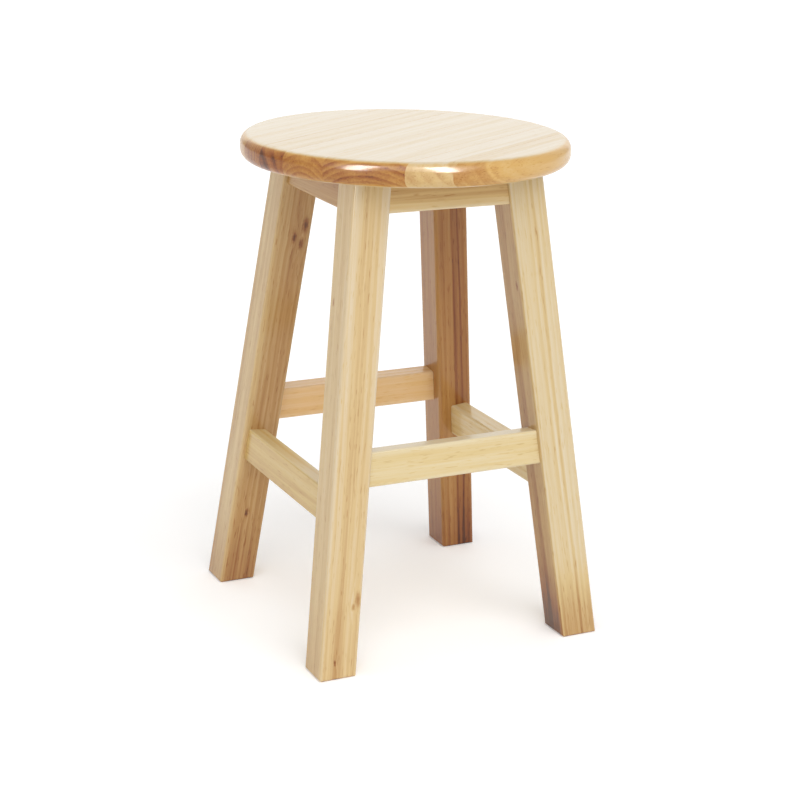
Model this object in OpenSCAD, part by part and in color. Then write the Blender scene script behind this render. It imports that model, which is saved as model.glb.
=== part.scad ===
// Low round stool with a footrest: a disc seat glued up from staves, carried
// by four splayed square legs. Four aprons join the legs under the seat, and
// four stretchers join them lower down and serve as the footrest. All rails
// have stub tenons that stand in mortises in the legs. Corner blocks behind
// the legs take the screws that hold the seat.
//
// Millimetres, +Z up. The origin is on the floor under the centre of the seat,
// and the front is -Y. Every piece of the frame is described once for the back
// right corner or the back side, and then mirrored or turned to its own place.

/* [Overall] */
// Height of the seat's top face above the floor
total_h = 450; // [380:5:600]
// Width of the footprint across the outer faces of the legs at the floor
base_w = 279; // [250:1:340]

/* [Seat] */
// Diameter of the seat
seat_d = 295; // [265:5:360]
// Thickness of the seat
seat_t = 22; // [18:1:36]
// Radius of the seat's upper and lower rim
rim_round = 9; // [2:0.5:9.5]
// Angle of the staves to the front of the stool
stave_turn = 32; // [0:1:45]
// Distance from the seat's centre to the back edge of its middle stave
stave_start = 32; // [20:1:44]
// Width of a narrow stave
stave_narrow = 31; // [28:1:44]
// Width of the middle stave
stave_middle = 43; // [34:1:58]
// Width of the wide stave in front of the middle one
stave_wide = 67; // [50:1:84]

/* [Legs] */
// Side of a leg's square section
leg_w = 35; // [30:0.5:44]
// Radius along a leg's four long edges
leg_round = 3; // [1:0.5:3]
// Chamfer around the foot of a leg
foot_chamfer = 1.5; // [0.5:0.5:3]
// Distance from the seat's rim to the outer corner of a leg's top
seat_overhang = 20; // [14:1:26]

/* [Aprons] */
// Height of an apron
apron_h = 30; // [26:1:44]
// Thickness of an apron
apron_t = 18; // [14:0.5:22]
// Depth of an apron's face behind the outer face of the leg
apron_in = 3.5; // [3:0.5:5]

/* [Stretchers] */
// Height of the side stretchers' lower edge above the floor
side_z = 128.5; // [80:0.5:180]
// Upright gap between the side stretchers' top and the front one's underside
stretcher_step = 4; // [0:0.5:40]
// Height of a stretcher's section
stretcher_h = 31; // [24:0.5:40]
// Thickness of a stretcher
stretcher_t = 18; // [14:0.5:22]
// Depth of a stretcher's face behind the outer face of the leg
stretcher_in = 4.5; // [3:0.5:6]
// Radius along the long edges of the aprons and the stretchers
rail_round = 2; // [0.5:0.5:4]

/* [Joints] */
// Thickness of a tenon
tenon_t = 9; // [6:0.5:11]
// Step from a rail's upper or lower edge to its tenon
tenon_shoulder = 4; // [3:0.5:6]
// Wood left in the leg above an apron's tenon
tenon_cover = 8; // [5:0.5:10]
// Length of a stretcher's tenon
stretcher_tenon = 18; // [12:1:24]
// Wood left in a leg between its two apron mortises
mortise_wall = 2; // [1:0.5:4]
// Clearance around a tenon
tenon_play = 0.15; // [0.05:0.05:0.4]
// Clearance past the end of a tenon
tenon_end_play = 1; // [0.5:0.5:2]

/* [Corner blocks and screws] */
// Height of a corner block
block_h = 22; // [18:1:25]
// Thickness of a corner block, square to its long face
block_t = 14; // [12:0.5:16]
// Clearance between a corner block and the leg that it braces
block_play = 1.5; // [1:0.5:3]
// Diameter of a screw's shank
screw_d = 4; // [3:0.5:5]
// Diameter of a screw's head
screw_head_d = 8; // [7:0.5:9]
// Height of a screw's head
screw_head_h = 2.5; // [2:0.5:3]
// Depth that a screw's head is sunk below the wood
screw_sink = 1; // [0.5:0.5:2]
// Depth that a seat screw goes into the seat
seat_bite = 12; // [8:1:14]
// Depth that a block screw goes into an apron
apron_bite = 10; // [6:1:12]
// Clearance around a screw's shank and head
screw_play = 0.25; // [0.1:0.05:0.5]

/* [Hidden] */
$fn = 64;

// A cut runs this far past what it cuts.
past = 1;
// No piece reaches this far from the origin.
reach = total_h + seat_d + base_w;

// Colours of the woods and of the screws
SEAT_PALE = [0.93, 0.83, 0.66];
SEAT_HONEY = [0.88, 0.74, 0.53];
LEG_WOOD = [0.86, 0.71, 0.50];
RAIL_WOOD = [0.90, 0.76, 0.54];
BLOCK_WOOD = [0.80, 0.66, 0.46];
ZINC = [0.76, 0.76, 0.73];

// Seat: the profile's rim, and the staves' edges from the back to the front
seat_r = seat_d / 2;
rim_r = min(rim_round, seat_t / 2 - 1);
stave_widths = [stave_narrow, stave_narrow, stave_middle, stave_wide, stave_narrow];
function width_up_to(i) = i == 0 ? 0 : stave_widths[i - 1] + width_up_to(i - 1);
first_edge = stave_start + 2 * stave_narrow;
stave_edges = concat(
    [seat_r],
    [for (i = [0 : len(stave_widths)]) first_edge - width_up_to(i)],
    [-seat_r]
);

// Legs: the distance of a leg's centre line from the stool's two middle
// planes, at the floor and at the top, and the lean that joins the two
leg_h = total_h - seat_t;
foot_out = (base_w - leg_w) / 2;
top_out = (seat_r - seat_overhang) / sqrt(2) - leg_w / 2;
splay = (foot_out - top_out) / leg_h;
lean = atan(splay);
corner_lean = atan(splay * sqrt(2));
function leg_out(z) = foot_out - splay * z;

// Rails: the height of each one's middle, and its tenon's height and length
apron_z = leg_h - apron_h / 2;
side_stretcher_z = side_z + stretcher_h / 2;
front_stretcher_z = side_stretcher_z + stretcher_h + stretcher_step;
apron_tenon_h = apron_h - tenon_cover - tenon_shoulder;
apron_tenon_z = leg_h - tenon_cover - apron_tenon_h / 2;
apron_tenon = leg_w - apron_in - (apron_t + tenon_t) / 2 - splay * apron_h / 2 - mortise_wall;
stretcher_tenon_h = stretcher_h - 2 * tenon_shoulder;

// Corner blocks: x + y on the two long faces, and the aprons at their height
block_far = 2 * (top_out - leg_w / 2) - block_play * sqrt(2);
block_near = block_far - block_t * sqrt(2);
apron_mid = leg_out(leg_h) + leg_w / 2 - apron_in - apron_t / 2;
apron_inner = apron_mid - apron_t / 2;

// Screws: where they stand in the back right corner
seat_screw_xy = (block_near + block_far) / 4;
seat_screw_l = block_h - screw_sink - screw_head_h + seat_bite;
block_screw_z = leg_h - block_h / 2;
block_screw_x = (block_near + block_far) / 2 - apron_inner - splay * block_h / 2;
block_screw_head_y = block_near - block_screw_x + screw_head_d / 2 + screw_sink;
block_screw_l = apron_inner + splay * block_h / 2 - block_screw_head_y + apron_bite;

// ---------------------------------------------------------------- shapes

// A rectangle with its middle at the origin and round corners
module round_rect(w, h, r) {
    square([w - 2 * r, h], center = true);
    square([w, h - 2 * r], center = true);
    for (x = [-1, 1], y = [-1, 1])
        translate([x * (w / 2 - r), y * (h / 2 - r)]) circle(r);
}

// A bar along X with its middle at the origin, w thick in Y and h high in Z
module bar(len, w, h, r) {
    rotate([90, 0, 90]) linear_extrude(len, center = true) round_rect(w, h, r);
}

// What it is given, moved from the back to the side that it is turned to
module on_side(turn) {
    rotate([0, 0, turn]) children();
}

// What it is given, mirrored from the back right corner to another one
module on_corner(left, front) {
    mirror([left ? 1 : 0, 0, 0]) mirror([0, front ? 1 : 0, 0]) children();
}

// ---------------------------------------------------------------- legs

// The square length of wood that the back right leg is cut from
module leg_stock() {
    translate([foot_out, foot_out, 0])
        rotate(a = corner_lean, v = [1, -1, 0])
            translate([0, 0, -leg_w])
                linear_extrude(leg_h / cos(corner_lean) + 2 * leg_w)
                    round_rect(leg_w, leg_w, leg_round);
}

// The four 45 degree cuts around the back right foot
module foot_cuts() {
    side = foot_chamfer * sqrt(2);
    translate([foot_out, foot_out, 0])
        for (turn = [0 : 90 : 270])
            rotate([0, 0, turn])
                translate([leg_w / 2 / cos(lean), 0, 0])
                    rotate([0, 45, 0]) cube([side, 2 * leg_w, side], center = true);
}

// The back right leg, cut level at the floor and under the seat
module leg_blank() {
    difference() {
        intersection() {
            leg_stock();
            cube([reach, reach, leg_h]);
        }
        foot_cuts();
    }
}

module leg(left, front) {
    color(LEG_WOOD) on_corner(left, front) difference() {
        leg_blank();
        apron_tenons(tenon_play, tenon_end_play);
        on_side(-90) apron_tenons(tenon_play, tenon_end_play);
        stretcher_tenons(front_stretcher_z, tenon_play, tenon_end_play);
        on_side(-90) stretcher_tenons(side_stretcher_z, tenon_play, tenon_end_play);
    }
}

// ---------------------------------------------------------------- rails

// Places a rail's section behind the outer faces of the legs, leaning with
// them: z is the height of its middle, set_in its depth, t its thickness
module rail_place(z, set_in, t) {
    translate([0, leg_out(z) + leg_w / 2 - set_in - t / 2, z])
        rotate([lean, 0, 0]) children();
}

// Both tenons of a rail, as one bar that runs through it
module tenon_bar(z, h, len, play, end_play) {
    bar(2 * (leg_out(z) - leg_w / 2 + len + end_play), tenon_t + 2 * play, h + 2 * play, 1);
}

module apron_tenons(play = 0, end_play = 0) {
    rail_place(apron_z, apron_in, apron_t)
        translate([0, 0, (apron_tenon_z - apron_z) / cos(lean)])
            tenon_bar(apron_tenon_z, apron_tenon_h, apron_tenon, play, end_play);
}

module stretcher_tenons(z, play = 0, end_play = 0) {
    rail_place(z, stretcher_in, stretcher_t)
        tenon_bar(z, stretcher_tenon_h, stretcher_tenon, play, end_play);
}

// What it is given, cut off along the two legs that it runs between
module between_legs() {
    difference() {
        children();
        leg_stock();
        mirror([1, 0, 0]) leg_stock();
    }
}

// The length of wood that an apron is cut from, up to the middles of the legs
module apron_stock() {
    intersection() {
        rail_place(apron_z, apron_in, apron_t)
            translate([0, 0, apron_t / 2])
                bar(2 * leg_out(apron_z), apron_t, apron_h + apron_t, rail_round);
        translate([-reach / 2, 0, 0]) cube([reach, reach, leg_h]);
    }
}

module apron(turn) {
    color(RAIL_WOOD) on_side(turn) difference() {
        union() {
            between_legs() apron_stock();
            apron_tenons();
        }
        block_screw_hole();
        mirror([1, 0, 0]) block_screw_hole();
    }
}

module stretcher(turn, z) {
    color(RAIL_WOOD) on_side(turn) {
        between_legs()
            rail_place(z, stretcher_in, stretcher_t)
                bar(2 * leg_out(z), stretcher_t, stretcher_h, rail_round);
        stretcher_tenons(z);
    }
}

// ---------------------------------------------------------------- screws

// A pan head screw that points along +Z, with the underside of its head at
// the origin and a cross recess in its head
module screw(len) {
    difference() {
        union() {
            translate([0, 0, -screw_head_h]) cylinder(h = screw_head_h, d = screw_head_d);
            cylinder(h = len - screw_d, d = screw_d);
            translate([0, 0, len - screw_d]) cylinder(h = screw_d, d1 = screw_d, d2 = screw_d / 4);
        }
        for (turn = [0, 90])
            rotate([0, 0, turn])
                translate([0, 0, -screw_head_h])
                    cube([screw_head_d * 0.6, screw_head_d * 0.14, screw_head_h], center = true);
    }
}

// The hole for a screw, with a wide mouth for its head
module screw_hole(len) {
    translate([0, 0, -reach]) cylinder(h = reach, d = screw_head_d + 2 * screw_play);
    cylinder(h = len + past, d = screw_d + 2 * screw_play);
}

// Back right corner: up through the corner block into the seat
module seat_screw_place() {
    translate([seat_screw_xy, seat_screw_xy, leg_h - block_h + screw_sink + screw_head_h])
        children();
}

// Back right corner: through the corner block into the back apron
module block_screw_place() {
    translate([block_screw_x, block_screw_head_y, block_screw_z])
        rotate([-90, 0, 0]) children();
}

module block_screw_hole() {
    block_screw_place() screw_hole(block_screw_l);
}

module seat_screws() {
    color(ZINC) for (left = [false, true], front = [false, true])
        on_corner(left, front) seat_screw_place() screw(seat_screw_l);
}

module block_screws() {
    color(ZINC) for (left = [false, true], front = [false, true])
        on_corner(left, front) {
            block_screw_place() screw(block_screw_l);
            mirror([1, -1, 0]) block_screw_place() screw(block_screw_l);
        }
}

// ---------------------------------------------------------------- blocks

// The length of wood that the back right block is cut from, no longer than
// its own quarter of the frame
module block_stock() {
    translate([0, 0, leg_h - block_h])
        linear_extrude(block_h)
            intersection() {
                polygon([
                    [apron_mid, block_near - apron_mid],
                    [apron_mid, block_far - apron_mid],
                    [block_far - apron_mid, apron_mid],
                    [block_near - apron_mid, apron_mid]
                ]);
                translate([block_play / 2, block_play / 2]) square(apron_mid);
            }
}

module corner_block(left, front) {
    color(BLOCK_WOOD) on_corner(left, front) difference() {
        block_stock();
        apron_stock();
        on_side(-90) apron_stock();
        seat_screw_place() screw_hole(seat_screw_l);
        block_screw_hole();
        mirror([1, -1, 0]) block_screw_hole();
    }
}

// ---------------------------------------------------------------- seat

// The whole disc, with its rims rounded above and below
module seat_disc() {
    translate([0, 0, leg_h]) rotate_extrude($fn = 128) {
        square([seat_r - rim_r, seat_t]);
        translate([0, rim_r]) square([seat_r, seat_t - 2 * rim_r]);
        for (z = [rim_r, seat_t - rim_r])
            translate([seat_r - rim_r, z]) circle(rim_r);
    }
}

// Stave number i, counted from the back: the part of the disc between two
// edges, less the holes for the seat screws
module seat_stave(i) {
    color(i % 2 == 0 ? SEAT_PALE : SEAT_HONEY) difference() {
        intersection() {
            seat_disc();
            rotate([0, 0, stave_turn])
                translate([-reach / 2, stave_edges[i], leg_h - past])
                    cube([reach, stave_edges[i - 1] - stave_edges[i], seat_t + 2 * past]);
        }
        for (left = [false, true], front = [false, true])
            on_corner(left, front) seat_screw_place() screw_hole(seat_screw_l);
    }
}

seat_stave(1);  // seat_stave_1
seat_stave(2);  // seat_stave_2
seat_stave(3);  // seat_stave_3
seat_stave(4);  // seat_stave_4
seat_stave(5);  // seat_stave_5
seat_stave(6);  // seat_stave_6
seat_stave(7);  // seat_stave_7
leg(true, true);  // leg_front_left
leg(false, true);  // leg_front_right
leg(false, false);  // leg_back_right
leg(true, false);  // leg_back_left
apron(0);  // apron_back
apron(90);  // apron_left
apron(180);  // apron_front
apron(270);  // apron_right
stretcher(0, front_stretcher_z);  // stretcher_back
stretcher(90, side_stretcher_z);  // stretcher_left
stretcher(180, front_stretcher_z);  // stretcher_front
stretcher(270, side_stretcher_z);  // stretcher_right
corner_block(true, true);  // corner_block_front_left
corner_block(false, true);  // corner_block_front_right
corner_block(false, false);  // corner_block_back_right
corner_block(true, false);  // corner_block_back_left
seat_screws();
block_screws();
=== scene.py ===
"""A low round stool of pale hardwood under clear satin lacquer.

The sections follow the stool as it is put together: legs, aprons, stretchers,
corner blocks and their screws, the staves of the seat and the screws that hold
them, and last the floor, the lights and the camera. Lengths are in metres.
"""
import math

import bpy
from mathutils import Matrix, Vector


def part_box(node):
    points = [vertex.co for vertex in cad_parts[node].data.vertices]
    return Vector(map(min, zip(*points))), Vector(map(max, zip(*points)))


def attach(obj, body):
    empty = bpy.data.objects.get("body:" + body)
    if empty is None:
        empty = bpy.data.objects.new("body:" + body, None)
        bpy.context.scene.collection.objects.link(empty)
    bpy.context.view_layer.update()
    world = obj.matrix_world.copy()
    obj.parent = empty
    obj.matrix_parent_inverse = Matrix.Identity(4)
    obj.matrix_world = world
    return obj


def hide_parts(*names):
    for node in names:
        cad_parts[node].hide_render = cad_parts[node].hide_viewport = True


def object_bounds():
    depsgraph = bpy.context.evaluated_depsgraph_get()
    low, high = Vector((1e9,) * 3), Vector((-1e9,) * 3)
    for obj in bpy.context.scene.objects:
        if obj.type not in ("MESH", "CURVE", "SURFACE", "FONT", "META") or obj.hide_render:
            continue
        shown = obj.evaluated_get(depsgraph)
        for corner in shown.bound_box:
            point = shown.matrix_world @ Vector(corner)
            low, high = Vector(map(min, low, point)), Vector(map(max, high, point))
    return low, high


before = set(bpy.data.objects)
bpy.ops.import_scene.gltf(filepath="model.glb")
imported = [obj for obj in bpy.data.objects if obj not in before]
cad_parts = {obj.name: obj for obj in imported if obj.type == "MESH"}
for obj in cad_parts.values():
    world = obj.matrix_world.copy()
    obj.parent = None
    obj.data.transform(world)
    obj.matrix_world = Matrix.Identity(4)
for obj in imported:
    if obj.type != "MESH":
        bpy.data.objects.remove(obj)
cad_low, cad_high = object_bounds()
scene = bpy.context.scene

# ---------------------------------------------------------------- legs
# Four square legs, ripped from pale hardwood along the grain and planed, with
# their long edges eased. They are cut level at the floor and under the seat, and
# mortised for the rails. Growth rings and small knots show through the lacquer.


def put(tree, kind, wires, **settings):
    """Adds a node with its settings, and wires or sets its inputs."""
    node = tree.nodes.new(kind)
    for name, value in settings.items():
        setattr(node, name, value)
    for name, value in wires.items():
        if isinstance(value, bpy.types.NodeSocket):
            tree.links.new(value, node.inputs[name])
        else:
            node.inputs[name].default_value = value
    return node


def number(tree, operation, *values):
    """A Math node's result for these values or sockets."""
    wires = dict(enumerate(values))
    return put(tree, "ShaderNodeMath", wires, operation=operation).outputs[0]


def arrow(tree, operation, first, second=(0, 0, 0), result="Vector"):
    """A Vector Math node's result for one or two vectors."""
    wires = {0: first, 1: second}
    return put(tree, "ShaderNodeVectorMath", wires, operation=operation).outputs[result]


def along_grain(tree, place, share):
    """A place squeezed along Z, which draws out along the grain what is read there."""
    return arrow(tree, "MULTIPLY", place, (1, 1, share))


def noise(tree, vector, seed, scale, detail=2.0):
    """Smooth noise around 0, from about -0.5 to 0.5. The seed chooses its pattern."""
    wires = {"Vector": vector, "W": seed, "Scale": scale, "Detail": detail}
    cloud = put(tree, "ShaderNodeTexNoise", wires, noise_dimensions="4D").outputs[0]
    return number(tree, "SUBTRACT", cloud, 0.5)


def ramp(tree, value, low, high, to_low=0.0, to_high=1.0):
    """Goes smoothly from one level to another as the value goes from low to high."""
    wires = {"Value": value, "From Min": low, "From Max": high, "To Min": to_low, "To Max": to_high}
    return put(tree, "ShaderNodeMapRange", wires, interpolation_type="SMOOTHSTEP").outputs[0]


def added(tree, base, *terms):
    """The base plus each (value, factor) term."""
    for value, factor in terms:
        base = number(tree, "MULTIPLY_ADD", value, factor, base)
    return base


def new_group(name, inputs, outputs, kind="ShaderNodeTree"):
    """A node group with these named sockets, and what enters and leaves it."""
    tree = bpy.data.node_groups.new(name, kind)
    for socket, socket_kind in inputs.items():
        tree.interface.new_socket(socket, in_out="INPUT", socket_type=socket_kind)
    for socket, socket_kind in outputs.items():
        tree.interface.new_socket(socket, in_out="OUTPUT", socket_type=socket_kind)
    start = tree.nodes.new("NodeGroupInput").outputs
    end = tree.nodes.new("NodeGroupOutput").inputs
    return tree, start, end


def use_group(tree, group, wires, kind="ShaderNodeGroup"):
    """Places a node group in a tree and gives back its outputs."""
    return put(tree, kind, wires, node_tree=group).outputs


FLOAT, VECTOR = "NodeSocketFloat", "NodeSocketVector"


def growth_rings():
    """Rings around the pith of the log, in a board whose grain runs along its own Z."""
    tree, start, end = new_group(
        "growth rings",
        {"Place": VECTOR, "Pith": VECTOR, "Ring Width": FLOAT, "Wander": FLOAT,
         "Bulge": FLOAT, "Seed": FLOAT},
        {"Late Wood": FLOAT, "Ring Tone": FLOAT, "Radius": FLOAT},
    )
    drawn_out = along_grain(tree, start["Place"], 0.14)
    sway = noise(tree, drawn_out, start["Seed"], scale=14)
    ripple = noise(tree, drawn_out, start["Seed"], scale=120)
    from_pith = arrow(tree, "SUBTRACT", start["Place"], start["Pith"])
    radius = arrow(tree, "LENGTH", along_grain(tree, from_pith, 0), result="Value")
    bend = added(tree, sway, (ripple, 0.22))
    radius = number(tree, "ADD", added(tree, radius, (bend, start["Wander"])), start["Bulge"])
    turns = number(tree, "DIVIDE", radius, start["Ring Width"])
    phase = number(tree, "FRACT", turns)
    darkest = 0.82
    rising = ramp(tree, phase, 0.1, darkest)
    falling = ramp(tree, phase, darkest, 1.0, to_low=1.0, to_high=0.0)
    ring = number(tree, "ADD", number(tree, "FLOOR", turns), start["Seed"])
    tone = put(tree, "ShaderNodeTexWhiteNoise", {"W": ring}, noise_dimensions="1D").outputs[0]
    tree.links.new(number(tree, "MULTIPLY", rising, falling), end["Late Wood"])
    tree.links.new(tone, end["Ring Tone"])
    tree.links.new(radius, end["Radius"])
    return tree


def wood_fibre():
    """Broad streaks, fine fibres and open pores, all drawn out along the grain."""
    tree, start, end = new_group(
        "wood fibre",
        {"Place": VECTOR, "Seed": FLOAT},
        {"Streak": FLOAT, "Fibre": FLOAT, "Pore": FLOAT},
    )
    drawn_out = along_grain(tree, start["Place"], 0.022)
    streak = noise(tree, drawn_out, start["Seed"], scale=90, detail=4)
    fibre = noise(tree, drawn_out, start["Seed"], scale=620)
    dashes = noise(tree, along_grain(tree, start["Place"], 0.09), start["Seed"], scale=900, detail=1)
    pore = ramp(tree, dashes, 0.1, 0.22)
    tree.links.new(streak, end["Streak"])
    tree.links.new(fibre, end["Fibre"])
    tree.links.new(pore, end["Pore"])
    return tree


def small_knot():
    """A knot of one size at one place, and how far the rings bulge around it."""
    tree, start, end = new_group(
        "small knot",
        {"Place": VECTOR, "Centre": VECTOR, "Size": FLOAT},
        {"Knot": FLOAT, "Bulge": FLOAT},
    )
    away = arrow(tree, "SUBTRACT", start["Place"], start["Centre"])
    distance = arrow(tree, "LENGTH", along_grain(tree, away, 0.45), result="Value")
    uneven = noise(tree, start["Place"], seed=0.0, scale=300)
    distance = added(tree, distance, (uneven, 0.003))
    share = number(tree, "DIVIDE", distance, start["Size"])
    bulge = number(tree, "MULTIPLY", ramp(tree, share, 4.5, 0.4), start["Size"])
    tree.links.new(ramp(tree, share, 1.6, 0.1), end["Knot"])
    tree.links.new(bulge, end["Bulge"])
    return tree


def eased_edge():
    """Where a bar's long edges are, which show paler: partly painted highlight where the rounded
    edges catch the light, partly wood sanded last.
    """
    tree, start, end = new_group(
        "eased edge",
        {"Place": VECTOR, "Half Section": VECTOR, "Seed": FLOAT},
        {"Edge": FLOAT},
    )
    inside = arrow(tree, "SUBTRACT", start["Half Section"], arrow(tree, "ABSOLUTE", start["Place"]))
    sides = put(tree, "ShaderNodeSeparateXYZ", {0: inside}).outputs
    depth = number(tree, "MAXIMUM", sides["X"], sides["Y"])
    uneven = noise(tree, along_grain(tree, start["Place"], 0.1), start["Seed"], scale=150)
    depth = added(tree, depth, (uneven, 0.004))
    tree.links.new(ramp(tree, depth, 0.005, 0.001), end["Edge"])
    return tree


# The Mix node's sockets for colours
SHARE, FIRST_COLOUR, SECOND_COLOUR, MIXED_COLOUR = 0, 6, 7, 2


def mixed(tree, share, first, second, blend="MIX"):
    """Two colours mixed, as far towards the second as share says."""
    wires = {SHARE: share, FIRST_COLOUR: first, SECOND_COLOUR: second}
    node = put(tree, "ShaderNodeMix", wires, data_type="RGBA", blend_type=blend)
    return node.outputs[MIXED_COLOUR]


GROWTH_RINGS = growth_rings()
WOOD_FIBRE = wood_fibre()
SMALL_KNOT = small_knot()
EASED_EDGE = eased_edge()

# Lacquer soaks into a turned rim and makes it amber
RIM_TINT = (1.0, 0.707, 0.22)

# The wood's colour at a depth of tone from 0 to 1: sapwood, honey, heartwood, knot
WOOD_COLOURS = (
    (0.0, (0.655, 0.55, 0.385)),
    (0.3, (0.60, 0.44, 0.215)),
    (0.6, (0.43, 0.245, 0.09)),
    (0.85, (0.27, 0.10, 0.028)),
    (1.0, (0.11, 0.042, 0.016)),
)

# How much fibres, pores, knots and the pale eased edges (partly painted highlight) add to
# the depth of tone, how soft the edge of a band is, and how far up from the floor the
# painted shade on a foot reaches
FIBRE_DEPTH = 0.3
PORE_DEPTH = 0.18
KNOT_DEPTH = 0.36
EDGE_HIGHLIGHT_AND_WEAR_DEPTH = -0.1
BAND_BLUR = 0.001
FOOT_SHADE_HEIGHT = 0.09


def wood(name, origin, across, grain, seed, depth, pith, ring_width=0.006, wander=0.012,
         figure=0.12, streaks=0.45, bands=(), knots=(), half_section=None, painted_side_shading=0.0,
         painted_foot_shade=0.0, end_depth=0.22, rim_depth=0.0, rim_amber=0.0, tint=(1, 1, 1), gloss=0.7):
    """Lacquered wood for one piece.

    The board's own place has its X along across, its Z along the grain and its
    zero at the origin. Pith is where the log's middle lies in X and Y, a band is a
    darker layer as (inner radius, outer radius, depth), a knot is (place, size).
    Figure is how dark the late wood of the rings is, and streaks how strong the
    streaks along the grain are. Side shading paints shade on the faces that look
    along across, and paints light on them where it is below zero. Foot shading is
    painted shade on the last few centimetres above Z = 0. End depth darkens the end
    grain and rim depth a turned rim, which rim amber colours too. Half section
    gives a bar paler long edges, partly painted highlight where the rounded edges
    catch the light and partly wood sanded last. Tint multiplies the colour of the
    whole piece, and gloss is the weight of the lacquer.
    """
    material = bpy.data.materials.new(name)
    material.use_nodes = True
    tree = material.node_tree
    shader = tree.nodes["Principled BSDF"]
    grain = Vector(grain).normalized()
    second = grain.cross(Vector(across)).normalized()
    turn = Matrix((second.cross(grain), second, grain)).transposed().to_euler()
    coordinates = tree.nodes.new("ShaderNodeTexCoord").outputs
    wires = {"Vector": coordinates["Object"], "Location": origin, "Rotation": turn}
    place = put(tree, "ShaderNodeMapping", wires, vector_type="TEXTURE").outputs[0]

    bulge = 0.0
    knotted = 0.0
    for centre, size in knots:
        knot = use_group(tree, SMALL_KNOT, {"Place": place, "Centre": centre, "Size": size})
        bulge = number(tree, "ADD", knot["Bulge"], bulge)
        knotted = number(tree, "MAXIMUM", knot["Knot"], knotted)
    wires = {"Place": place, "Pith": (*pith, 0), "Ring Width": ring_width, "Wander": wander,
             "Bulge": bulge, "Seed": seed}
    rings = use_group(tree, GROWTH_RINGS, wires)
    fibre = use_group(tree, WOOD_FIBRE, {"Place": place, "Seed": seed})

    facing = arrow(tree, "DOT_PRODUCT", coordinates["Normal"], grain, result="Value")
    end_grain = ramp(tree, number(tree, "ABSOLUTE", facing), 0.3, 0.95)
    ring_tone = added(tree, 0.35, (rings["Ring Tone"], 1.0))
    late = number(tree, "MULTIPLY", rings["Late Wood"], ring_tone)
    contrast = added(tree, figure, (end_grain, 0.1))
    tone = added(
        tree, depth, (late, contrast), (fibre["Streak"], streaks), (fibre["Fibre"], FIBRE_DEPTH),
        (fibre["Pore"], PORE_DEPTH), (end_grain, end_depth), (knotted, KNOT_DEPTH),
    )
    for start, stop, darker in bands:
        inner = ramp(tree, rings["Radius"], start - BAND_BLUR, start + BAND_BLUR)
        outer = ramp(tree, rings["Radius"], stop - BAND_BLUR, stop + BAND_BLUR, 1.0, 0.0)
        tone = added(tree, tone, (number(tree, "MULTIPLY", inner, outer), darker))
    # Paler long edges: partly painted highlight where the rounded edges catch the light, partly wood
    # sanded last
    if half_section:
        wires = {"Place": place, "Half Section": (*half_section, 0), "Seed": seed}
        edge = use_group(tree, EASED_EDGE, wires)["Edge"]
        tone = added(tree, tone, (edge, EDGE_HIGHLIGHT_AND_WEAR_DEPTH))
    # Painted shade on the faces that look along across; below zero it paints light on them instead
    if painted_side_shading:
        sideways = arrow(tree, "DOT_PRODUCT", coordinates["Normal"], across, result="Value")
        sideways = number(tree, "ABSOLUTE", sideways)
        tone = added(tree, tone, (ramp(tree, sideways, 0.6, 0.85), painted_side_shading))
    # Painted shade near the floor, over the last few centimetres of a foot
    if painted_foot_shade:
        above_floor = put(tree, "ShaderNodeSeparateXYZ", {0: place}).outputs["Z"]
        foot = ramp(tree, above_floor, 0.0, FOOT_SHADE_HEIGHT, to_low=1.0, to_high=0.0)
        tone = added(tree, tone, (foot, painted_foot_shade))
    rim = 0.0
    if rim_depth:
        upright = put(tree, "ShaderNodeSeparateXYZ", {0: coordinates["Normal"]}).outputs["Z"]
        rim = ramp(tree, number(tree, "ABSOLUTE", upright), 0.985, 0.8)
        tone = added(tree, tone, (rim, rim_depth))
    colours = put(tree, "ShaderNodeValToRGB", {"Fac": tone})
    stops = colours.color_ramp.elements
    stops.remove(stops[1])
    stops[0].color = (*WOOD_COLOURS[0][1], 1)
    for position, colour in WOOD_COLOURS[1:]:
        stops.new(position).color = (*colour, 1)
    tinted = mixed(tree, 1.0, colours.outputs["Color"], (*tint, 1), "MULTIPLY")
    amber = number(tree, "MULTIPLY", rim, rim_amber)
    lacquered = mixed(tree, amber, tinted, (*RIM_TINT, 1), "MULTIPLY")
    tree.links.new(lacquered, shader.inputs["Base Color"])

    tree.links.new(added(tree, 0.4, (fibre["Fibre"], 0.12)), shader.inputs["Roughness"])
    height = added(tree, 0.0, (fibre["Fibre"], 0.5), (fibre["Pore"], -1.0), (knotted, -0.6))
    bump = put(tree, "ShaderNodeBump", {"Strength": 0.3, "Distance": 0.0002, "Height": height})
    tree.links.new(bump.outputs[0], shader.inputs["Normal"])
    shader.inputs["Specular IOR Level"].default_value = 0.1
    shader.inputs["Coat Weight"].default_value = gloss
    shader.inputs["Coat Roughness"].default_value = 0.17
    return material


def finish(node, material):
    """Gives a CAD node its material."""
    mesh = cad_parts[node].data
    mesh.materials.clear()
    mesh.materials.append(material)


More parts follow.
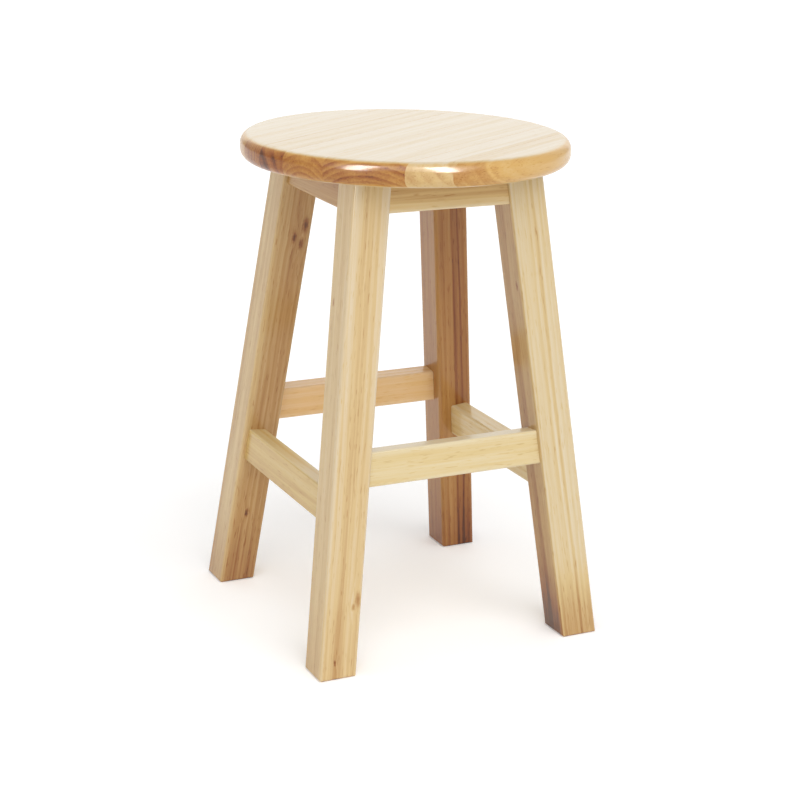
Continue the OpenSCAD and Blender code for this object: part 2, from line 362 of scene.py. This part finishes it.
# How far out a foot's middle stands, how much a leg leans and half its thickness
FOOT_OUT = 0.122
SPLAY = 0.1153
LEG_HALF = 0.0175
LEG_RING_WIDTH = 0.0055
LEG_STREAKS = 0.65
# Each leg's side shading is painted shade on its faces along X, painted light where it is below
# zero, and its foot shading is painted shade near the floor
LEGS = {
    "leg_front_left": dict(
        side=(-1, -1), seed=1.0, depth=0.16, pith=(-0.08, 0.01), tint=(1, 0.98, 0.96),
        bands=((0.0761, 0.0855, 0.07), (0.0772, 0.0788, 0.08), (0.083, 0.0845, 0.08)),
        painted_side_shading=0.1, painted_foot_shade=0.1,
        knots=(((0.0135, -0.0175, 0.069), 0.0028), ((0.0095, -0.0175, 0.063), 0.0016),
               ((-0.0045, -0.0175, 0.013), 0.0012), ((-0.0175, 0.009, 0.325), 0.0014)),
    ),
    "leg_front_right": dict(
        side=(1, -1), seed=4.0, depth=0.12, pith=(-0.08, 0.02), tint=(0.97, 0.97, 0.94),
        bands=((0.0905, 0.0935, 0.2),),
        painted_side_shading=0.38, painted_foot_shade=0.4, knots=(((-0.0175, -0.009, 0.331), 0.0018),),
    ),
    "leg_back_right": dict(
        side=(1, 1), seed=7.0, depth=0.44, pith=(-0.08, -0.01), tint=(0.77, 0.56, 0.34),
        bands=((0.0795, 0.1, 0.14), (0.0787, 0.0805, 0.16), (0.0855, 0.0875, 0.16)),
        painted_side_shading=0.03, painted_foot_shade=0.24, knots=(),
    ),
    "leg_back_left": dict(
        side=(-1, 1), seed=9.0, depth=0.5, pith=(0.08, 0.02), tint=(0.99, 0.97, 0.95), bands=(),
        painted_side_shading=-0.17, painted_foot_shade=0.15,
        knots=(((0.011, -0.0175, 0.367), 0.0032), ((0.0016, -0.0175, 0.355), 0.0024),
               ((0.009, -0.0175, 0.349), 0.0022), ((-0.002, -0.0175, 0.075), 0.0018)),
    ),
}
for node, leg in LEGS.items():
    x, y = leg["side"]
    finish(node, wood(
        node.replace("_", " ") + " wood", (x * FOOT_OUT, y * FOOT_OUT, 0), (1, 0, 0),
        (-x * SPLAY, -y * SPLAY, 1), leg["seed"], leg["depth"], leg["pith"],
        ring_width=LEG_RING_WIDTH, streaks=LEG_STREAKS, bands=leg["bands"], knots=leg["knots"],
        half_section=(LEG_HALF, LEG_HALF), painted_side_shading=leg["painted_side_shading"],
        painted_foot_shade=leg["painted_foot_shade"], tint=leg["tint"],
    ))

# ---------------------------------------------------------------- aprons
# Four aprons stand on edge right under the seat, planed from the same wood and
# stub-tenoned into the legs. Their lower edges are eased, and the grain runs
# from leg to leg.


def middle(node):
    """The middle of a CAD node's box."""
    low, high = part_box(node)
    return (low + high) / 2


APRON_HALF = (0.015, 0.009)
APRONS = {
    "apron_front": dict(
        grain=(1, 0, 0), seed=20.0, depth=0.38, pith=(-0.05, 0.03), tint=(1.08, 1.04, 0.92),
        bands=((0.0, 0.048, -0.2),),
    ),
    "apron_right": dict(
        grain=(0, 1, 0), seed=23.0, depth=0.42, pith=(-0.06, 0.0), tint=(1.0, 0.9, 0.8),
        bands=(),
    ),
    "apron_back": dict(
        grain=(1, 0, 0), seed=26.0, depth=0.4, pith=(0.07, 0.02), tint=(1.05, 0.95, 0.85),
        bands=(),
    ),
    "apron_left": dict(
        grain=(0, 1, 0), seed=29.0, depth=0.49, pith=(-0.03, 0.06), tint=(0.9, 0.76, 0.52),
        bands=(),
    ),
}
for node, apron in APRONS.items():
    finish(node, wood(
        node.replace("_", " ") + " wood", middle(node), (0, 0, 1), apron["grain"], apron["seed"],
        apron["depth"], apron["pith"], bands=apron["bands"], half_section=APRON_HALF,
        tint=apron["tint"],
    ))

# ---------------------------------------------------------------- stretchers
# Four stretchers tie the legs lower down and serve as the footrest. The side
# ones sit below the front and back ones, so that their mortises don't meet in
# the leg. All four edges are eased.

STRETCHER_HALF = (0.0155, 0.009)
# A stretcher's side shading below zero is painted light on its top and bottom faces
STRETCHERS = {
    "stretcher_front": dict(
        grain=(1, 0, 0), seed=40.0, depth=0.18, pith=(0.02, 0.09),
        painted_side_shading=-0.16, tint=(1.05, 1.09, 1.06),
    ),
    "stretcher_right": dict(
        grain=(0, 1, 0), seed=43.0, depth=0.22, pith=(0.05, -0.05),
        painted_side_shading=-0.04, tint=(1.06, 1.08, 1.02),
    ),
    "stretcher_back": dict(
        grain=(1, 0, 0), seed=46.0, depth=0.16, pith=(-0.04, 0.05),
        painted_side_shading=0.0, tint=(1.2, 1.03, 0.86),
    ),
    "stretcher_left": dict(
        grain=(0, 1, 0), seed=49.0, depth=0.33, pith=(0.03, 0.06),
        painted_side_shading=-0.32, tint=(1.0, 0.95, 0.71),
    ),
}
for node, stretcher in STRETCHERS.items():
    finish(node, wood(
        node.replace("_", " ") + " wood", middle(node), (0, 0, 1), stretcher["grain"],
        stretcher["seed"], stretcher["depth"], stretcher["pith"], half_section=STRETCHER_HALF,
        painted_side_shading=stretcher["painted_side_shading"], tint=stretcher["tint"],
    ))

# ---------------------------------------------------------------- corner blocks
# A sawn block spans each inner corner under the seat. It is screwed to both
# aprons and takes the screw that holds the seat. Nobody sees it, so it is a
# browner offcut with only a thin coat of lacquer.

BLOCK_DEPTH = 0.34
BLOCK_PITH = (0.03, 0.04)
BLOCK_RING_WIDTH = 0.004
BLOCK_GLOSS = 0.1

# Each block's grain and the seed of its pattern
BLOCKS = {
    "corner_block_front_left": ((-1, 1, 0), 60.0),
    "corner_block_front_right": ((1, 1, 0), 62.0),
    "corner_block_back_right": ((-1, 1, 0), 64.0),
    "corner_block_back_left": ((1, 1, 0), 66.0),
}
for node, (grain, seed) in BLOCKS.items():
    finish(node, wood(
        node.replace("_", " ") + " wood", middle(node), (0, 0, 1), grain, seed, BLOCK_DEPTH,
        BLOCK_PITH, ring_width=BLOCK_RING_WIDTH, gloss=BLOCK_GLOSS,
    ))

# ---------------------------------------------------------------- block screws
# Two zinc-plated pan head screws run through each corner block into the aprons.
# They have a cross recess and a rolled thread, and their heads sit in wide
# holes, a little below the wood.

GEOMETRY, MATERIAL, COUNT = "NodeSocketGeometry", "NodeSocketMaterial", "NodeSocketInt"
SCREW_TIP = 0.004
SCREW_HEAD = 0.008
SCREW_HEAD_HEIGHT = 0.0025


def turned_disc():
    """A disc of radius 1 turned to size, with both its rims rounded."""
    # The rings of the blank are spread round both rims, all but the two end ones.
    # Those lie a little further in on the flat faces, and keep their shading flat
    segments = 26
    rounded = (segments - 2) / segments / 2
    lip = 0.0004
    tree, start, end = new_group(
        "turned disc",
        {"Radius": FLOAT, "Thickness": FLOAT, "Rim": FLOAT, "Underside": FLOAT, "Sides": COUNT},
        {"Mesh": GEOMETRY},
        kind="GeometryNodeTree",
    )
    wires = {"Vertices": start["Sides"], "Side Segments": segments, "Radius": 1.0, "Depth": 1.0}
    blank = put(tree, "GeometryNodeMeshCylinder", wires).outputs["Mesh"]
    position = put(tree, "GeometryNodeInputPosition", {}).outputs[0]
    place = put(tree, "ShaderNodeSeparateXYZ", {0: position}).outputs
    level = place["Z"]
    wires = {"Value": level, "From Min": -rounded, "From Max": rounded,
             "To Min": -math.pi / 2, "To Max": math.pi / 2}
    slope = put(tree, "ShaderNodeMapRange", wires).outputs[0]
    is_lip = number(tree, "GREATER_THAN", number(tree, "ABSOLUTE", level), rounded + 0.01)
    inner = number(tree, "SUBTRACT", start["Radius"], start["Rim"])
    radius = added(tree, inner, (number(tree, "COSINE", slope), start["Rim"]), (is_lip, -lip))
    half = number(tree, "MULTIPLY", start["Thickness"], 0.5)
    straight = number(tree, "SUBTRACT", half, start["Rim"])
    middle_height = number(tree, "ADD", start["Underside"], half)
    height = added(tree, middle_height, (number(tree, "SIGN", level), straight),
                   (number(tree, "SINE", slope), start["Rim"]))
    wires = {"X": number(tree, "MULTIPLY", place["X"], radius),
             "Y": number(tree, "MULTIPLY", place["Y"], radius), "Z": height}
    turned = put(tree, "ShaderNodeCombineXYZ", wires).outputs[0]
    shaped = put(tree, "GeometryNodeSetPosition", {"Geometry": blank, "Position": turned})
    tree.links.new(shaped.outputs[0], end["Mesh"])
    return tree


def smoothed(tree, mesh, material):
    """Smooth faces with sharp edges where they turn by over 30 degrees, in one material."""
    smooth = put(tree, "GeometryNodeSetShadeSmooth", {"Geometry": mesh}).outputs[0]
    angle = put(tree, "GeometryNodeInputMeshEdgeAngle", {}).outputs["Unsigned Angle"]
    sharp = put(tree, "FunctionNodeCompare", {"A": angle, "B": math.radians(30)}).outputs[0]
    wires = {"Geometry": smooth, "Selection": sharp, "Shade Smooth": False}
    edged = put(tree, "GeometryNodeSetShadeSmooth", wires, domain="EDGE").outputs[0]
    wires = {"Geometry": edged, "Material": material}
    return put(tree, "GeometryNodeSetMaterial", wires).outputs[0]


def moved(tree, mesh, translation=(0, 0, 0), rotation=(0, 0, 0)):
    """A mesh turned and then moved."""
    wires = {"Geometry": mesh, "Translation": translation, "Rotation": rotation}
    return put(tree, "GeometryNodeTransform", wires).outputs[0]


def screws():
    """One screw on each point, along the way that the point is marked as pointing."""
    pitch = 0.0016
    core = 0.0014
    thread = 0.0006
    point = 0.0002
    # Each bar of the cross recess is centred on the top of the head, so it cuts
    # half as deep as it is high
    slot = (SCREW_HEAD * 0.6, SCREW_HEAD * 0.13, SCREW_HEAD_HEIGHT)
    tree, start, end = new_group(
        "screws",
        {"Points": GEOMETRY, "Length": FLOAT, "Head": FLOAT, "Head Height": FLOAT,
         "Plating": MATERIAL},
        {"Screws": GEOMETRY},
        kind="GeometryNodeTree",
    )
    radius = number(tree, "MULTIPLY", start["Head"], 0.5)
    above = number(tree, "MULTIPLY", start["Head Height"], -1.0)
    rim = number(tree, "MULTIPLY", start["Head Height"], 0.4)
    wires = {"Radius": radius, "Thickness": start["Head Height"], "Underside": above, "Rim": rim,
             "Sides": 32}
    head = use_group(tree, TURNED_DISC, wires, "GeometryNodeGroup")[0]
    bar = put(tree, "GeometryNodeMeshCube", {"Size": slot}).outputs["Mesh"]
    lift = put(tree, "ShaderNodeCombineXYZ", {"Z": above}).outputs[0]
    recess = put(tree, "GeometryNodeMeshBoolean", {}, operation="DIFFERENCE", solver="EXACT")
    tree.links.new(head, recess.inputs["Mesh 1"])
    for turn in (0, math.pi / 2):
        tree.links.new(moved(tree, bar, lift, (0, 0, turn)), recess.inputs["Mesh 2"])

    body = number(tree, "SUBTRACT", start["Length"], SCREW_TIP)
    half_body = number(tree, "MULTIPLY", body, 0.5)
    lift = put(tree, "ShaderNodeCombineXYZ", {"Z": half_body}).outputs[0]
    wires = {"Vertices": 16, "Radius": core, "Depth": body}
    shank = moved(tree, put(tree, "GeometryNodeMeshCylinder", wires).outputs["Mesh"], lift)
    wires = {"Vertices": 16, "Radius Top": point, "Radius Bottom": core, "Depth": SCREW_TIP}
    tip = put(tree, "GeometryNodeMeshCone", wires).outputs["Mesh"]
    tip = moved(tree, tip, put(tree, "ShaderNodeCombineXYZ", {"Z": body}).outputs[0])
    wires = {"Resolution": 16, "Rotations": number(tree, "DIVIDE", body, pitch),
             "Start Radius": core, "End Radius": core, "Height": body}
    helix = put(tree, "GeometryNodeCurveSpiral", wires).outputs[0]
    wires = {"Resolution": 3, "Radius": thread}
    profile = put(tree, "GeometryNodeCurvePrimitiveCircle", wires).outputs[0]
    wires = {"Curve": helix, "Profile Curve": profile, "Fill Caps": True}
    ridge = put(tree, "GeometryNodeCurveToMesh", wires).outputs[0]
    whole = tree.nodes.new("GeometryNodeJoinGeometry")
    for piece in (recess.outputs["Mesh"], shank, tip, ridge):
        tree.links.new(piece, whole.inputs[0])

    wires = {"Name": "pointing"}
    pointing = put(tree, "GeometryNodeInputNamedAttribute", wires, data_type="FLOAT_VECTOR")
    wires = {"Vector": pointing.outputs[0]}
    turn = put(tree, "FunctionNodeAlignRotationToVector", wires, axis="Z").outputs[0]
    wires = {"Points": start["Points"], "Instance": whole.outputs[0], "Rotation": turn}
    placed = put(tree, "GeometryNodeInstanceOnPoints", wires).outputs[0]
    real = put(tree, "GeometryNodeRealizeInstances", {"Geometry": placed}).outputs[0]
    tree.links.new(smoothed(tree, real, start["Plating"]), end["Screws"])
    return tree


def made_by(tree, name, values, mesh=None):
    """An object with the plain mesh that a geometry tree makes from these values."""
    obj = bpy.data.objects.new(name, mesh or bpy.data.meshes.new(name))
    scene.collection.objects.link(obj)
    modifier = obj.modifiers.new("shape", "NODES")
    modifier.node_group = tree
    for socket in tree.interface.items_tree:
        if socket.in_out == "INPUT" and socket.name in values:
            modifier[socket.identifier] = values[socket.name]
    shaped = obj.evaluated_get(bpy.context.evaluated_depsgraph_get())
    plain = bpy.data.meshes.new_from_object(shaped)
    obj.modifiers.clear()
    obj.data = plain
    # The points of a screw set bring an empty first slot with them
    if plain.materials[0] is None:
        plain.materials.pop(index=0)
    return obj


def zinc():
    """Bright zinc plating, cloudy and a little yellow, with fine scuffs."""
    material = bpy.data.materials.new("zinc plating")
    material.use_nodes = True
    tree = material.node_tree
    shader = tree.nodes["Principled BSDF"]
    place = tree.nodes.new("ShaderNodeTexCoord").outputs["Object"]
    cloud = noise(tree, place, seed=0.0, scale=500, detail=3)
    drawn_out = arrow(tree, "MULTIPLY", place, (1, 0.1, 1))
    scuff = noise(tree, drawn_out, seed=3.0, scale=4000)
    bright, dull = (0.78, 0.77, 0.74, 1), (0.66, 0.62, 0.50, 1)
    plating = mixed(tree, added(tree, 0.5, (cloud, 1.2)), bright, dull)
    tree.links.new(plating, shader.inputs["Base Color"])
    tree.links.new(added(tree, 0.36, (cloud, 0.2), (scuff, 0.2)), shader.inputs["Roughness"])
    shader.inputs["Metallic"].default_value = 1.0
    return material


def screw_set(name, node, length, heads):
    """The screws that stand for one CAD node. A head is (place, way that it points)."""
    points = bpy.data.meshes.new(name)
    points.from_pydata([place for place, _ in heads], [], [])
    pointing = points.attributes.new("pointing", "FLOAT_VECTOR", "POINT")
    for mark, (_, way) in zip(pointing.data, heads):
        mark.vector = way
    values = {"Length": length, "Head": SCREW_HEAD, "Head Height": SCREW_HEAD_HEIGHT,
              "Plating": ZINC}
    screw_group = made_by(SCREWS, name, values, points)
    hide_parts(node)
    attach(screw_group, "root")


TURNED_DISC = turned_disc()
SCREWS = screws()
ZINC = zinc()
CORNERS = ((-1, -1), (1, -1), (1, 1), (-1, 1))

BLOCK_SCREW_LENGTH = 0.0149
BLOCK_SCREW_OUT = 0.0284
screw_low, screw_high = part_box("block_screws")
head_out = screw_high.y - BLOCK_SCREW_LENGTH
head_z = (screw_low.z + screw_high.z) / 2
heads = []
for x, y in CORNERS:
    heads.append(((x * BLOCK_SCREW_OUT, y * head_out, head_z), (0, y, 0)))
    heads.append(((x * head_out, y * BLOCK_SCREW_OUT, head_z), (x, 0, 0)))
screw_set("apron_screws", "block_screws", BLOCK_SCREW_LENGTH, heads)

# ---------------------------------------------------------------- seat
# Seven staves are glued edge to edge, and the round is cut across them and its
# rims turned. The grain of all runs one way, so the rim shows end grain on two
# sides, where lacquer soaks in and the growth rings stand out as dark arches.


def stave():
    """The part of the turned seat that lies between its two glued edges."""
    tree, start, end = new_group(
        "stave",
        {"Radius": FLOAT, "Thickness": FLOAT, "Rim": FLOAT, "Underside": FLOAT,
         "Back Edge": FLOAT, "Front Edge": FLOAT, "Eased": FLOAT, "Turn": FLOAT, "Wood": MATERIAL},
        {"Stave": GEOMETRY},
        kind="GeometryNodeTree",
    )
    wires = {name: start[name] for name in ("Radius", "Thickness", "Rim", "Underside")}
    wires["Sides"] = 180
    disc = use_group(tree, TURNED_DISC, wires, "GeometryNodeGroup")[0]

    # The board is a little longer than the disc is wide. Its top and bottom rings
    # stand past the disc and are drawn in, so that its glued edges are eased where
    # they meet the faces of the disc
    width = number(tree, "SUBTRACT", start["Back Edge"], start["Front Edge"])
    length = number(tree, "MULTIPLY", start["Radius"], 2.2)
    size = put(tree, "ShaderNodeCombineXYZ", {"X": length, "Y": width, "Z": 1.0}).outputs[0]
    board = put(tree, "GeometryNodeMeshCube", {"Size": size, "Vertices Z": 4}).outputs["Mesh"]
    position = put(tree, "GeometryNodeInputPosition", {}).outputs[0]
    place = put(tree, "ShaderNodeSeparateXYZ", {0: position}).outputs
    outer = number(tree, "GREATER_THAN", number(tree, "ABSOLUTE", place["Z"]), 0.3)
    taper = number(tree, "MULTIPLY", number(tree, "MULTIPLY", outer, start["Eased"]), 2.0)
    half = number(tree, "MULTIPLY", start["Thickness"], 0.5)
    level = number(tree, "ADD", number(tree, "SUBTRACT", half, start["Eased"]), taper)
    side = number(tree, "SIGN", place["Y"])
    wires = {
        "X": place["X"],
        "Y": number(tree, "SUBTRACT", place["Y"], number(tree, "MULTIPLY", side, taper)),
        "Z": number(tree, "MULTIPLY", number(tree, "SIGN", place["Z"]), level),
    }
    edged = put(tree, "ShaderNodeCombineXYZ", wires).outputs[0]
    board = put(tree, "GeometryNodeSetPosition", {"Geometry": board, "Position": edged}).outputs[0]
    both_edges = number(tree, "ADD", start["Back Edge"], start["Front Edge"])
    wires = {
        "Y": number(tree, "MULTIPLY", both_edges, 0.5),
        "Z": number(tree, "ADD", start["Underside"], half),
    }
    board = moved(tree, board, put(tree, "ShaderNodeCombineXYZ", wires).outputs[0])
    turn = put(tree, "ShaderNodeCombineXYZ", {"Z": start["Turn"]}).outputs[0]
    board = moved(tree, board, rotation=turn)

    cut = put(tree, "GeometryNodeMeshBoolean", {}, operation="INTERSECT", solver="EXACT")
    tree.links.new(disc, cut.inputs["Mesh 2"])
    tree.links.new(board, cut.inputs["Mesh 2"])
    tree.links.new(smoothed(tree, cut.outputs["Mesh"], start["Wood"]), end["Stave"])
    return tree


STAVE = stave()
STAVE_TURN = math.radians(32)
GRAIN = Vector((math.cos(STAVE_TURN), math.sin(STAVE_TURN), 0))
ACROSS = Vector((-math.sin(STAVE_TURN), math.cos(STAVE_TURN), 0))
SEAT_RIM = 0.009
JOINT_EASED = 0.00015
STAVE_WANDER = 0.006
STAVE_FIGURE = 0.08
STAVE_END_DEPTH = 0.24
seat_low, seat_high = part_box("seat_stave_5")
SEAT_MIDDLE = Vector((0, 0, (seat_low.z + seat_high.z) / 2))
SEAT_THICKNESS = seat_high.z - seat_low.z
SEAT_RADIUS = (cad_high.x - cad_low.x) / 2
OUTSIDE = SEAT_RADIUS + 0.01

# From the back: the front edge, the depth of tone, how much deeper and how much
# more amber the rim is, the pith, the ring width and the darker bands
STAVES = (
    (0.094, 0.02, 0.26, 0.72, (0.20, -0.01), 0.006, ()),
    (0.063, 0.08, 0.42, 0.75, (-0.02, 0.00), 0.003, ()),
    (0.032, 0.12, 0.38, 1.0, (0.11, -0.03), 0.011, ((0.0, 0.062, 0.2),)),
    (-0.011, 0.04, 0.3, 0.82, (0.010, -0.022), 0.0048, ()),
    (-0.078, 0.06, 0.33, 0.74, (-0.047, -0.055), 0.005, ()),
    (-0.109, 0.0, 0.1, 0.29, (-0.183, 0.051), 0.009, ((0.0, 0.09, 0.2),)),
    (-OUTSIDE, 0.02, 0.2, 0.64, (-0.189, 0.024), 0.008, ((0.0655, 0.2, 0.18),)),
)
back_edge = OUTSIDE
for count, one_stave in enumerate(STAVES, 1):
    front_edge, depth, rim_depth, rim_amber, pith, ring_width, bands = one_stave
    material = wood(
        f"seat stave {count} wood", SEAT_MIDDLE, ACROSS, GRAIN, 80.0 + 3 * count, depth, pith,
        ring_width=ring_width, wander=STAVE_WANDER, figure=STAVE_FIGURE, bands=bands,
        end_depth=STAVE_END_DEPTH, rim_depth=rim_depth, rim_amber=rim_amber,
    )
    values = {
        "Radius": SEAT_RADIUS, "Thickness": SEAT_THICKNESS, "Rim": SEAT_RIM,
        "Underside": seat_low.z, "Back Edge": back_edge, "Front Edge": front_edge,
        "Eased": JOINT_EASED, "Turn": STAVE_TURN, "Wood": material,
    }
    piece = made_by(STAVE, f"stave_{count}", values)
    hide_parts(f"seat_stave_{count}")
    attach(piece, "root")
    back_edge = front_edge

# ---------------------------------------------------------------- seat screws
# One long screw runs up through each corner block and holds the seat down. It
# is the same pan head screw as the others, only longer.

SEAT_SCREW_LENGTH = 0.0305
screw_low, screw_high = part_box("seat_screws")
out = screw_high.x - SCREW_HEAD / 2
heads = [((x * out, y * out, screw_low.z + SCREW_HEAD_HEIGHT), (0, 0, 1)) for x, y in CORNERS]
screw_set("seat_fixing_screws", "seat_screws", SEAT_SCREW_LENGTH, heads)

# ---------------------------------------------------------------- floor
# A wide sheet of matt white paper on a light table, which glows a little and
# keeps the shadow under the stool pale.

bpy.ops.mesh.primitive_plane_add(size=30)
floor = bpy.context.object
floor.name = "floor"
paper = bpy.data.materials.new("floor paper")
paper.use_nodes = True
sheet = paper.node_tree.nodes["Principled BSDF"]
sheet.inputs["Base Color"].default_value = (0.98, 0.98, 0.98, 1)
sheet.inputs["Roughness"].default_value = 0.9
sheet.inputs["Specular IOR Level"].default_value = 0.0
sheet.inputs["Emission Color"].default_value = (1, 1, 1, 1)
sheet.inputs["Emission Strength"].default_value = 0.1
floor.data.materials.append(paper)

# ---------------------------------------------------------------- lights
# A white tent all round, a broad soft key from the front, and three softboxes
# that only show as gloss: two tall ones in front of the seat, and a sheet
# behind it.

VIEW_TURN = math.radians(-26.05)
VIEW_RIGHT = Vector((math.cos(VIEW_TURN), math.sin(VIEW_TURN), 0))
VIEW_AHEAD = Vector((-math.sin(VIEW_TURN), math.cos(VIEW_TURN), 0))

tent = bpy.data.worlds.new("white tent")
scene.world = tent
tent.use_nodes = True
sky = tent.node_tree
background = sky.nodes["Background"]
background.inputs["Color"].default_value = (1, 1, 1, 1)
way = sky.nodes.new("ShaderNodeTexCoord").outputs["Generated"]
upward = put(sky, "ShaderNodeSeparateXYZ", {0: way}).outputs["Z"]
glow = ramp(sky, upward, 0.0, 0.5, to_low=0.51, to_high=0.74)
seen = sky.nodes.new("ShaderNodeLightPath").outputs["Is Camera Ray"]
sky.links.new(number(sky, "MAXIMUM", glow, seen), background.inputs["Strength"])

key_light = bpy.data.lights.new("key", "SUN")
key_light.energy = 1.46
key_light.angle = math.radians(60)
key = bpy.data.objects.new("key", key_light)
scene.collection.objects.link(key)
towards_key = Vector((-0.1, -0.9, 1))
key.rotation_euler = towards_key.to_track_quat("Z", "Y").to_euler()


def gloss_box(name, place, width, height, watts):
    """A softbox, turned to the seat, that shows in the lacquer and adds no other light."""
    light = bpy.data.lights.new(name, "AREA")
    light.shape = "RECTANGLE"
    light.size = width
    light.size_y = height
    light.energy = watts
    lamp = bpy.data.objects.new(name, light)
    scene.collection.objects.link(lamp)
    lamp.visible_diffuse = False
    turn = (place - SEAT_TOP).to_track_quat("Z", "Y")
    lamp.matrix_world = Matrix.Translation(place) @ turn.to_matrix().to_4x4()


SEAT_TOP = Vector((0, 0, 0.45))
for side in (-0.58, 0.47):
    place = VIEW_RIGHT * side - VIEW_AHEAD * 0.9 + Vector((0, 0, 1.08))
    gloss_box("tall softbox", place, width=0.3, height=1.2, watts=34)
place = VIEW_AHEAD * 2 + Vector((0, 0, 1.1))
gloss_box("sheet", place, width=2.4, height=1.4, watts=7)

# ---------------------------------------------------------------- camera
# The camera stands a little above the seat, in front of the stool and to its
# left. It is rolled by just over a degree.

CAMERA_LENS = 88.0
CAMERA_RISE = math.radians(17.30)
CAMERA_ROLL = math.radians(1.25)
CAMERA_AWAY = 1.8174
AIM = Vector((0, 0, 0.2010))

camera_data = bpy.data.cameras.new("camera")
camera_data.lens = CAMERA_LENS
camera = bpy.data.objects.new("camera", camera_data)
scene.collection.objects.link(camera)
scene.camera = camera
back = Vector((0, 0, math.sin(CAMERA_RISE))) - VIEW_AHEAD * math.cos(CAMERA_RISE)
facing = back.to_track_quat("Z", "Y").to_matrix().to_4x4()
roll = Matrix.Rotation(CAMERA_ROLL, 4, "Z")
camera.matrix_world = Matrix.Translation(AIM + back * CAMERA_AWAY) @ facing @ roll
scene.view_settings.view_transform = "Standard"
